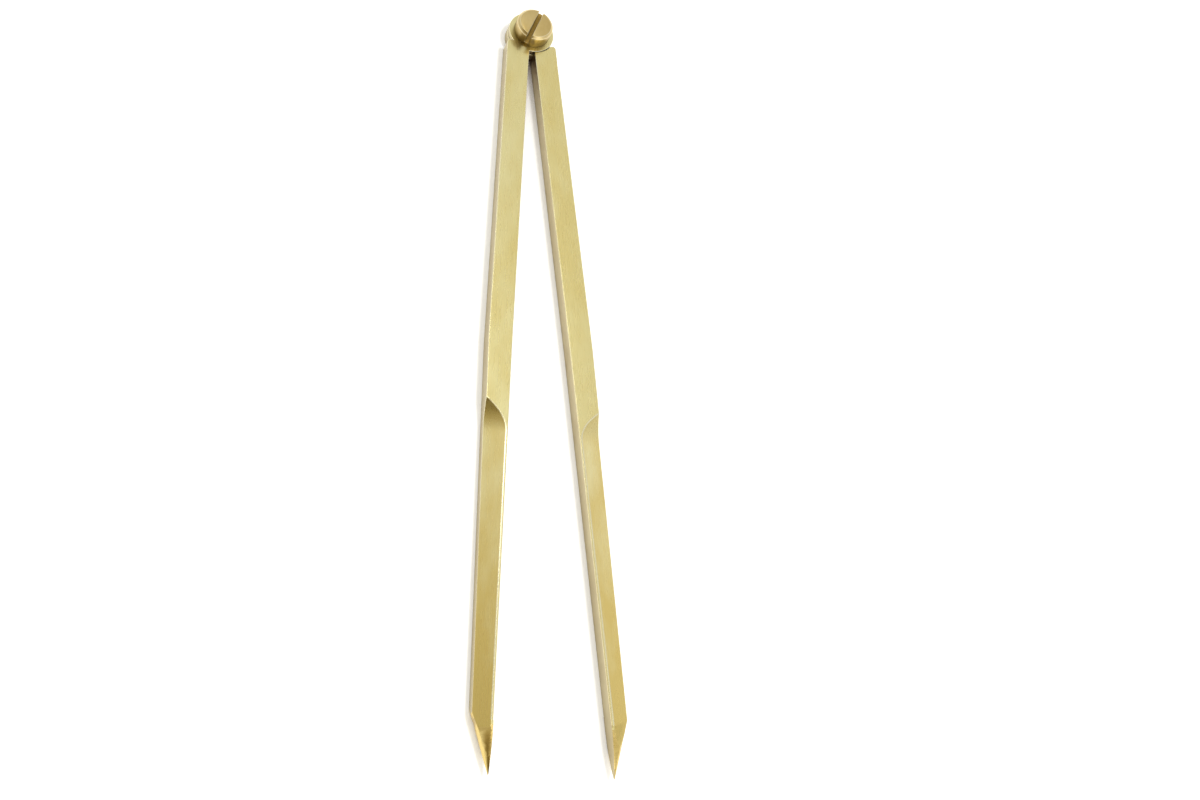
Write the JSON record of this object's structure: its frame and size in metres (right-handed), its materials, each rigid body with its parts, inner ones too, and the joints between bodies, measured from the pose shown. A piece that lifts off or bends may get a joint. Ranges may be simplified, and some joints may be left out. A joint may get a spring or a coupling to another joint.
{
  "type": "chart divider",
  "caption": "Straight brass chart divider: tapered legs with turned points, hinged at a half-lap knuckle by a slotted friction screw, for stepping off distances on a chart.",
  "frame": {"origin": "on the hinge axis, in the plane of the back faces on which the divider lies", "axes": "+Z along the hinge axis from the back towards the screw head, -Y from the hinge towards the points, +X towards the right leg"},
  "size_m": [0.0358, 0.2031, 0.0086],
  "materials": {
    "leg_brass": "fine brushed along the legs, satin",
    "screw_brass": "turned, satin",
    "washer_bronze": "rolled, dull"
  },
  "bodies": {
    "right_arm": {"right_leg": "leg_brass", "pivot_screw": "screw_brass", "friction_washer": "washer_bronze"},
    "left_arm": {"left_leg": "leg_brass"}
  },
  "joints": [
    {"name": "leg_opening", "type": "hinge", "parent": "right_arm", "child": "left_arm", "pos_m": [0, 0, 0.00225], "axis": [0, 0, -1], "range_deg": [-8.3, 171.7]}
  ]
}
